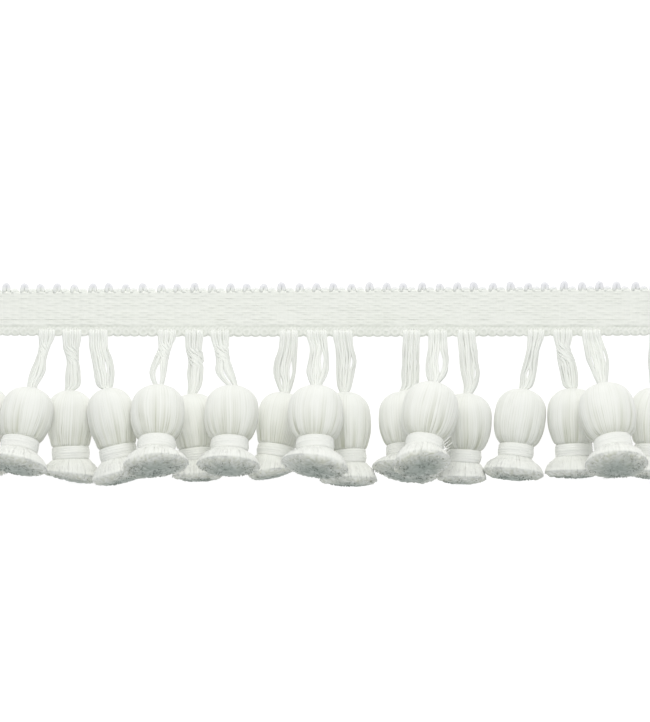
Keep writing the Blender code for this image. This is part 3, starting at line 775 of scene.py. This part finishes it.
def skirt_strands(tassel, draw, count):
    """Centre lines of loose yarns on the outside of the skirt, from under the binding past the rim.

    A strand follows the skirt's outline from ring to ring at its own angle, a hair's breadth within it,
    drifts a little, and runs on in a straight line by its own length.
    """
    rows = outline_rows(tassel)
    first, last = STRAND_SPAN
    rows = rows[(rows[:, 0] > NECK_END + first) & (rows[:, 0] < NECK_END + last)][:, :2]
    picked = rows[np.linspace(0, len(rows) - 1, STRAND_STEPS).astype(int)]
    shape = (count, STRAND_STEPS)
    along = np.broadcast_to(picked[:, 0], shape).copy()
    wide = np.broadcast_to(picked[:, 1], shape) - draw.uniform(*STRAND_SUNK, (count, 1))
    wide[:, 0] -= ROOT_SUNK
    extra = draw.uniform(*STRAND_EXTRA, count) * draw.uniform(0.1, 1, count)
    along[:, -1] += 0.75 * extra + draw.uniform(0, TIP_UNEVEN, count)
    wide[:, -1] += 0.50 * extra
    drift = draw.uniform(-STRAND_DRIFT, STRAND_DRIFT, (count, 1)) * np.linspace(0, 1, STRAND_STEPS)
    angle = draw.uniform(0, 2 * math.pi, (count, 1)) + drift
    return np.stack([wide * np.cos(angle), DEPTH_SHARE * wide * np.sin(angle), along], axis=-1)


def cut_ends(tassel, draw, count):
    """Centre lines of the yarn ends that stand out of the cut face, splayed from the axis.

    They are spread evenly over a dome, which falls away by the cube of the share of the way to the rim,
    and each leans out by that share.
    """
    share = np.sqrt(draw.uniform(0.0, 1.0, count))
    angle = draw.uniform(0, 2 * math.pi, count)
    dome = NECK_END + SKIRT_LONG - DOME_FALL * share**3
    steps = np.linspace(0, 1, len(END_RADII))[None, :]
    out = steps * draw.uniform(*END_REACH, (count, 1))
    wide = (DOME_HALF * tassel.rim * share)[:, None] + out * (END_SPLAY * share)[:, None]
    bent = angle[:, None] + draw.uniform(-END_DRIFT, END_DRIFT, (count, 1)) * steps
    return np.stack([wide * np.cos(bent), DEPTH_SHARE * wide * np.sin(bent), dome[:, None] + out], axis=-1)


# One tassel's neck has a tuft of yarn that slipped out of its binding, in locks of these lengths.
TUFTED = 12
TUFT_STRANDS = 44
TUFT_START = 0.0052
TUFT_REACHES = (0.0022, 0.0028, 0.0024, 0.0032, 0.0024, 0.0030)
TUFT_ANGLES = (-0.1, 0.5)
TUFT_SPAN = (0.0012, -0.0022)
TUFT_SPREAD = 0.0003
TUFT_RISE = 0.001


def tuft(draw, count):
    """Centre lines of the tuft at one side of the neck, whose locks point outwards and to the head.

    Each lock starts at its own height on the binding's edge, runs out in a line that bends back by a
    power of the way along it, and its yarns draw together at the tip.
    """
    locks = len(TUFT_REACHES)
    t = np.linspace(0, 1, STRAND_STEPS)[None, :]
    lock = draw.integers(0, locks, (count, 1))
    spread = draw.uniform(-1, 1, (count, 1)) * (1 - 0.8 * t)
    angle = np.linspace(*TUFT_ANGLES, locks)[lock] + 0.05 * spread
    reach = np.array(TUFT_REACHES)[lock] * draw.uniform(0.8, 1, (count, 1))
    wide = TUFT_START + reach * t
    start = NECK_END + np.linspace(*TUFT_SPAN, locks)[lock]
    along = start + TUFT_SPREAD * spread - 0.8 * reach * t**1.3
    up = DEPTH_SHARE * wide * np.sin(angle) + TUFT_RISE * t
    return np.stack([wide * np.cos(angle), up, along], axis=-1)


YARN_WHITES_WIDE = 0.004
FILAMENT_WIDE = 0.00035
FILAMENT_RISE = 0.00010


def yarn_material():
    """Bleached spun viscose yarn, soft and loosely twisted.

    A bright warm white that varies at random, with a faint sheen along the yarns, a warm grey-green
    painted shade where the yarns part and towards the neck, and a darker cool grey painted shade on the
    cut face and the ends, for the shadow in the pile and on the face turned from the light. Filaments
    are drawn 0.35 mm wide, coarser than the real ones, so that they show.
    """
    material, tree, shader = new_material("bleached spun viscose yarn")
    painted_shading = add(tree, "ShaderNodeAttribute", attribute_name="painted_shading")
    cut = add(tree, "ShaderNodeAttribute", attribute_name="cut")
    place = add(tree, "ShaderNodeAttribute", attribute_name="yarn_place")
    cloud = add(
        tree, "ShaderNodeTexNoise", {"Scale": 1 / YARN_WHITES_WIDE}, {"Vector": place.outputs["Vector"]}
    )
    whites = add(
        tree,
        "ShaderNodeMix",
        {"A": linear("#F1F1ED"), "B": linear("#E7E9E4")},
        {"Factor": cloud.outputs["Fac"]},
        data_type="RGBA",
    )
    # Painted shade: the warm grey-green, mixed in by the layer of painted shading.
    shaded = add(
        tree,
        "ShaderNodeMix",
        {"B": linear("#BFC1B0")},
        {"Factor": painted_shading.outputs["Fac"], "A": whites.outputs["Result"]},
        data_type="RGBA",
    )
    # Painted shade for the cut face: two cool greys, picked by the same layer.
    ends = add(
        tree,
        "ShaderNodeMix",
        {"A": linear("#B6BDB6"), "B": linear("#889289")},
        {"Factor": painted_shading.outputs["Fac"]},
        data_type="RGBA",
    )
    # The cut layer lays that painted shade over the cut face and the yarn tips.
    tones = add(
        tree,
        "ShaderNodeMix",
        None,
        {"Factor": cut.outputs["Fac"], "A": shaded.outputs["Result"], "B": ends.outputs["Result"]},
        data_type="RGBA",
    )
    filaments = add(
        tree,
        "ShaderNodeTexNoise",
        {"Scale": 1 / FILAMENT_WIDE, "Detail": 3.0, "Roughness": 0.65},
        {"Vector": place.outputs["Vector"]},
    )
    bump = add(
        tree,
        "ShaderNodeBump",
        {"Strength": 0.3, "Distance": FILAMENT_RISE},
        {"Height": filaments.outputs["Fac"]},
    )
    tree.links.new(tones.outputs["Result"], shader.inputs["Base Color"])
    tree.links.new(bump.outputs["Normal"], shader.inputs["Normal"])
    shader.inputs["Roughness"].default_value = 0.75
    shader.inputs["Sheen Weight"].default_value = 0.35
    shader.inputs["Sheen Roughness"].default_value = 0.45
    shader.inputs["Specular IOR Level"].default_value = 0.3
    return material


def joined(parts):
    """One set of points and faces from several, each with its points moved on in number."""
    points, faces = [], []
    total = 0
    for some, sets in parts:
        points.append(some)
        faces += [group + total for group in sets]
        total += len(some)
    return np.concatenate(points), faces


YARN_SEED = 40
spun_yarn = yarn_material()
heights = tassel_heights()
for number, (tassel, height) in enumerate(zip(TASSELS, heights), start=1):
    draw = np.random.default_rng(YARN_SEED + number)
    axes, top = tassel_frame(tassel, height)
    skin, skin_faces, skin_layers = yarn_skin(tassel, draw)
    loose_lines = skirt_strands(tassel, draw, STRANDS)
    if number == TUFTED:
        loose_lines = np.concatenate([loose_lines, tuft(draw, TUFT_STRANDS)])
    strands, strand_faces = tubes(loose_lines, STRAND_RADII, LOOSE_SIDES, (0.0, 0.0, 1.0))
    end_lines = cut_ends(tassel, draw, CUT_ENDS)
    ends, end_faces = tubes(end_lines, END_RADII, LOOSE_SIDES, (1.0, 0.0, 0.0))
    points, faces = joined([(skin, skin_faces), (strands, strand_faces), (ends, end_faces)])
    # Painted shade of the cut face: on the strands' tips, none on the tuft, and on the cut ends, less
    # towards the rim and on the upper side; each end takes one of the two greys at random.
    strand_tip_shade = np.tile(np.repeat(STRAND_TIP_SHADE, LOOSE_SIDES), len(loose_lines))
    strand_tip_shade[LOOSE_SIDES * STRAND_STEPS * STRANDS :] = 0.0
    end_out = np.hypot(ends[:, 0], ends[:, 1] / DEPTH_SHARE) / tassel.rim
    end_up = ends[:, 1] / DEPTH_SHARE / tassel.rim
    end_face_shade = np.clip(1.15 - 1.2 * end_out**2 - 0.4 * end_up, 0, 1)
    end_shade_speckle = np.repeat(draw.uniform(0, 1, CUT_ENDS), LOOSE_SIDES * len(END_RADII))
    layers = {
        "painted_shading": np.concatenate([skin_layers["painted_shading"], 0 * strand_tip_shade, end_shade_speckle]),
        "cut": np.concatenate([skin_layers["cut"], strand_tip_shade, end_face_shade]),
        "yarn_place": np.concatenate([skin_layers["yarn_place"], strands, ends]),
    }
    placed = laid(points, tassel, axes, top)
    bundle = make_piece(f"yarn_bundle_{number:02d}", placed, faces, spun_yarn, layers)
    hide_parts(f"tassel_{number:02d}")


# The neck bindings: on each tassel one smooth white cotton thread is wound five times round the neck and
# pulled tight, so that its turns lie against each other and pinch the yarn.
WRAP_HALF = 0.0049
WRAP_TURNS = 5
WRAP_THREAD = 0.0008
WRAP_STEPS = 170
WRAP_SIDES = 7
WRAP_START = 0.0006
WRAP_SHORT = 0.0013
PITCH_WAVER = 0.00005
WRAP_WAVER = 0.00006
WRAP_WAVE = 0.0001
WRAP_WAVE_LONG = 0.0005
WRAP_SEED = 80
THREAD_WHITES_WIDE = 0.003
THREAD_GRAIN = 0.0003
THREAD_GRAIN_RISE = 0.0001


def wrap_line(tassel, draw):
    """The thread's centre line: an oval helix down the neck.

    Its fall wavers by a sine of the turn, and its radius by another and by the cosine of the fall.
    """
    turn = np.linspace(0, 2 * math.pi * WRAP_TURNS, WRAP_STEPS)
    start = HEAD_LONG + WRAP_START
    fall = (NECK_LONG - WRAP_SHORT) * turn / turn[-1]
    fall = fall + PITCH_WAVER * np.sin(turn + draw.uniform(0, 6.28))
    waver = WRAP_WAVER * np.sin(1.7 * turn + draw.uniform(0, 6.28))
    wide = WRAP_HALF * tassel.neck + waver - WRAP_WAVE * np.cos(fall / WRAP_WAVE_LONG)
    angle = turn - math.pi / 2
    return np.stack([wide * np.cos(angle), DEPTH_SHARE * wide * np.sin(angle), start + fall], axis=-1)


def thread_material():
    """Two-ply bleached cotton thread, mercerised.

    A slightly glossier, cleaner white than the yarn, with a soft fibre grain, drawn 0.3 mm wide and so
    coarser than the real one, so that it shows.
    """
    material, tree, shader = new_material("mercerised cotton thread")
    place = add(tree, "ShaderNodeTexCoord")
    cloud = add(
        tree, "ShaderNodeTexNoise", {"Scale": 1 / THREAD_WHITES_WIDE}, {"Vector": place.outputs["Object"]}
    )
    whites = add(
        tree,
        "ShaderNodeMix",
        {"A": linear("#F1F1ED"), "B": linear("#E4E6E1")},
        {"Factor": cloud.outputs["Fac"]},
        data_type="RGBA",
    )
    grain = add(
        tree,
        "ShaderNodeTexNoise",
        {"Scale": 1 / THREAD_GRAIN, "Detail": 3.0},
        {"Vector": place.outputs["Object"]},
    )
    bump = add(
        tree,
        "ShaderNodeBump",
        {"Strength": 0.35, "Distance": THREAD_GRAIN_RISE},
        {"Height": grain.outputs["Fac"]},
    )
    tree.links.new(whites.outputs["Result"], shader.inputs["Base Color"])
    tree.links.new(bump.outputs["Normal"], shader.inputs["Normal"])
    shader.inputs["Roughness"].default_value = 0.65
    shader.inputs["Sheen Weight"].default_value = 0.2
    shader.inputs["Specular IOR Level"].default_value = 0.35
    return material


thread = thread_material()
for number, (tassel, height) in enumerate(zip(TASSELS, heights), start=1):
    draw = np.random.default_rng(WRAP_SEED + number)
    axes, top = tassel_frame(tassel, height)
    line = wrap_line(tassel, draw)[None]
    wrap, wrap_faces = tubes(line, WRAP_THREAD, WRAP_SIDES, (0.0, 0.0, 1.0))
    binding = make_piece(f"neck_wrap_{number:02d}", laid(wrap, tassel, axes, top), wrap_faces, thread)
    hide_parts(f"binding_{number:02d}")


# The hangers: each is a loose skein of sixteen soft cotton threads that comes out of the braid at the
# tape's lower edge and runs into the top of a head, where the tassel's yarn is drawn over it. Some
# skeins turn over once on the way, and many part in slits.
HANGER_THREADS = 16
THREAD_SIDES = 5
HANGER_THREAD = 0.00038
HANGER_DEEP = 0.00030
HANGER_Z = 0.0010
HANGER_LIFT = 0.0005
LIFT_LONG = 0.0025
SHADE_LONG = 0.0060
SKEIN_SHADE = 0.35
END_HALF = 0.0011
STATION_STEP = 0.0036
ROWS_A_STATION = 5
TWIST_LONG = 0.0060
HANGER_SUNK = 0.0010
LAST_CLEAR = 0.0008
PLACE_WAVE = 0.10
PLACE_UNEVEN = 0.05
SKEIN_SEED = 120
MM = 0.001

# How a thread comes out of the braid: its first places, back from the tape's lower edge and up.
HANGER_LEADS = ((0.0, 0.0022, -0.0005), (0.0, 0.0013, 0.0003), (0.0, 0.0006, 0.0003))

# One row for each skein, in millimetres. middles and halves: how far the skein's middle stands to the
# right of where it starts, and half its width, at every STATION_STEP below the tape. twist: how far down
# it turns over, or nothing. slits: each with its share across, its start and end down, and its width.
Slit = namedtuple("Slit", "share start end wide")
Skein = namedtuple("Skein", "middles halves twist slits")
SKEINS = (
    Skein((0.0, 0.2, 0.7, 1.2, 1.7), (2.5, 2.1, 1.9, 2.2, 1.9), 5.0, ()),
    Skein((0.0, -0.7, -1.6, -2.4, -3.6), (2.2, 1.3, 1.3, 2.0, 1.3), 4.5, ()),
    Skein((0.0, -0.1, 0.4, 0.5, 0.6), (2.6, 2.1, 1.5, 2.0, 2.0), 5.5, ()),
    Skein((0.0, 0.3, 1.3, 2.1, 2.5), (2.5, 2.6, 2.9, 2.8, 2.2), None, (Slit(0.26, 5.4, 12.8, 1.1),)),
    Skein((0.0, -0.7, -1.8, -2.4, -2.8), (2.5, 1.6, 2.0, 2.3, 1.6), 4.2, (Slit(0.0, 5.0, 17.5, 2.2),)),
    Skein((0.0, 0.0, 0.6, 0.4, 0.3), (2.4, 2.2, 2.0, 2.1, 1.7), 6.3, ()),
    Skein((0.0, 0.5, 1.1, 1.7, 2.3), (2.5, 1.9, 1.8, 2.5, 2.2), 5.2, (Slit(-0.08, 9.0, 17.0, 1.2),)),
    Skein(
        (0.0, -0.4, -1.0, -1.2, -1.2),
        (2.4, 2.6, 3.0, 3.1, 2.1),
        None,
        (Slit(0.50, 4.5, 15.0, 1.2), Slit(-0.40, 10.6, 16.2, 0.9)),
    ),
    Skein((0.0, 0.7, 0.6, 0.2, 0.3), (2.7, 2.4, 2.7, 2.9, 1.5), None, (Slit(0.40, 2.8, 10.2, 1.2),)),
    Skein((0.0, 0.6, 1.1, 0.8, 0.6), (2.6, 2.5, 2.7, 2.4, 1.9), None, (Slit(0.60, 4.5, 11.0, 0.9),)),
    Skein((0.0, -0.2, -0.4, -0.5, -0.6), (2.3, 2.3, 2.4, 2.4, 2.1), None, ()),
    Skein(
        (0.0, 0.0, -0.2, -0.6, -1.3),
        (2.5, 2.6, 3.1, 3.0, 2.3),
        None,
        (Slit(0.28, 3.0, 12.4, 1.5), Slit(-0.40, 9.6, 15.4, 0.7)),
    ),
    Skein((0.0, 0.4, 0.8, 1.2, 1.2), (2.4, 2.6, 2.6, 2.5, 1.8), None, (Slit(0.52, 6.8, 14.6, 0.9),)),
    Skein((0.0, -0.8, -1.5, -2.2, -2.9), (2.3, 1.8, 1.8, 2.1, 1.8), None, (Slit(-0.14, 8.6, 14.0, 1.2),)),
    Skein((0.0, 0.1, 0.9, 1.5, 2.0), (2.6, 1.8, 2.3, 2.4, 2.0), 5.0, ()),
    Skein((0.0, 1.0, 1.6, 2.1, 2.3), (2.5, 2.9, 3.0, 2.2, 1.4), None, (Slit(0.80, 3.0, 9.0, 0.4),)),
    Skein((0.0, -0.2, -0.4, -0.5, -0.6), (2.4, 2.3, 2.5, 2.4, 2.0), None, ()),
)


def skein_lines(tassel, skein, axes, top, draw):
    """The threads' centre lines, one row for each thread, and how much of the deep colour each has.

    A thread has its own place on an oval section, which turns by half a circle where the skein turns
    over. Sideways that place is scaled to the skein's width, and a slit squeezes the threads on its two
    sides apart by the sine of the way along it, squared. The height runs from the tape to the head's top
    on the cubic with the tape's slope at one end and the tassel's at the other, plus a lift that fades
    with the exponential of the way down. The deep colour is painted shade: the cube of the place beside
    the skein's half width, darkening its sides, plus an even share, and it grows from nothing at the
    tape, so that the skein is lighter there, as painted light against the tape's shadow.
    """
    start_y = tape_edge(tassel.hang) - SCALLOP_DEEP
    drop = start_y - top[1]
    count = 1 + sum(STATION_STEP * i < drop - LAST_CLEAR for i in range(1, len(skein.middles)))
    table = np.zeros((count + 1, 3))
    table[:count, 0] = STATION_STEP * np.arange(count)
    table[:count, 1] = MM * np.array(skein.middles[:count])
    table[:count, 2] = MM * np.array(skein.halves[:count])
    table[count] = (drop, top[0] - tassel.hang, END_HALF)
    down, middle, half = curve_through(table, [ROWS_A_STATION] * (count + 1)).T
    t = down / drop
    slope = math.tan(math.radians(tassel.tilt)) * drop
    height = HANGER_Z + (top[2] - HANGER_Z) * (3 * t**2 - 2 * t**3) + slope * (t**3 - t**2)
    height = height + HANGER_LIFT * np.exp(-down / LIFT_LONG)
    turn = 0.0 * down
    if skein.twist:
        way = np.clip((down - MM * skein.twist) / TWIST_LONG + 0.5, 0, 1)
        turn = math.pi * (3 * way**2 - 2 * way**3)
    uneven = draw.uniform(-PLACE_UNEVEN, PLACE_UNEVEN, (HANGER_THREADS, 1))
    places = np.linspace(-1, 1, HANGER_THREADS)[:, None] + uneven
    layer = np.array([-1.0, 0.5, 0.0, 1.0, -0.5])[np.arange(HANGER_THREADS) % 5]
    sides = layer[:, None] * np.sqrt(1.2 - places**2)
    waves = t * draw.uniform(0.4, 1.3, (HANGER_THREADS, 1)) + draw.uniform(0, 1, (HANGER_THREADS, 1))
    places = places + PLACE_WAVE * np.sin(math.pi * t) * np.sin(2 * math.pi * waves)
    share = np.clip(places * np.cos(turn) + sides * np.sin(turn), -1, 1)
    above = sides * np.cos(turn) - places * np.sin(turn)
    for slit in skein.slits:
        way = np.clip((down - MM * slit.start) / (MM * (slit.end - slit.start)), 0, 1)
        gap = 0.5 * MM * slit.wide * np.sin(math.pi * way) ** 2 / half
        left = -1 + (share + 1) * (slit.share - gap + 1) / (slit.share + 1)
        right = 1 - (1 - share) * (1 - slit.share - gap) / (1 - slit.share)
        share = np.where(places[:, :1] * np.cos(turn[-1]) < slit.share, left, right)
    x = tassel.hang + middle + share * half
    y = start_y - down + 0 * x
    z = np.maximum(height + HANGER_DEEP * above, HANGER_THREAD)
    lines = np.stack([x, y, z], axis=-1)
    leads = lines[:, :1] + np.array(HANGER_LEADS)
    lines = np.concatenate([leads, lines[:, 1:], lines[:, -1:] + axes[2] * HANGER_SUNK], axis=1)
    # Painted shade on the skein's sides and further down it, none at the tape, as painted light.
    shade = (np.abs(share) ** 3 + SKEIN_SHADE) * np.clip(down / SHADE_LONG, 0, 1)
    shade = np.concatenate([np.zeros(leads.shape[:2]), shade[:, 1:], shade[:, -1:]], axis=1)
    return lines, np.clip(shade, 0, 1)


# A lighter white than the tape's yarn, as painted light near the tape where its shadow falls; the deep
# colour is painted shade.
soft_thread = weave_material("soft bleached cotton thread", "#F7F8F4", "#F1F3EE", "#DFE1DC")
for number, (tassel, height, skein) in enumerate(zip(TASSELS, heights, SKEINS), start=1):
    draw = np.random.default_rng(SKEIN_SEED + number)
    axes, top = tassel_frame(tassel, height)
    lines, shade = skein_lines(tassel, skein, axes, top, draw)
    skein_points, skein_faces = tubes(lines, HANGER_THREAD, THREAD_SIDES, (1.0, 0.0, 0.0))
    skein_points[:, 2] = np.maximum(skein_points[:, 2], 0.0)
    skein_painted_shading = {"painted_shading": np.repeat(shade.ravel(), THREAD_SIDES)}
    hanger = make_piece(f"hanger_skein_{number:02d}", skein_points, skein_faces, soft_thread, skein_painted_shading)
    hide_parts(f"hanger_{number:02d}")
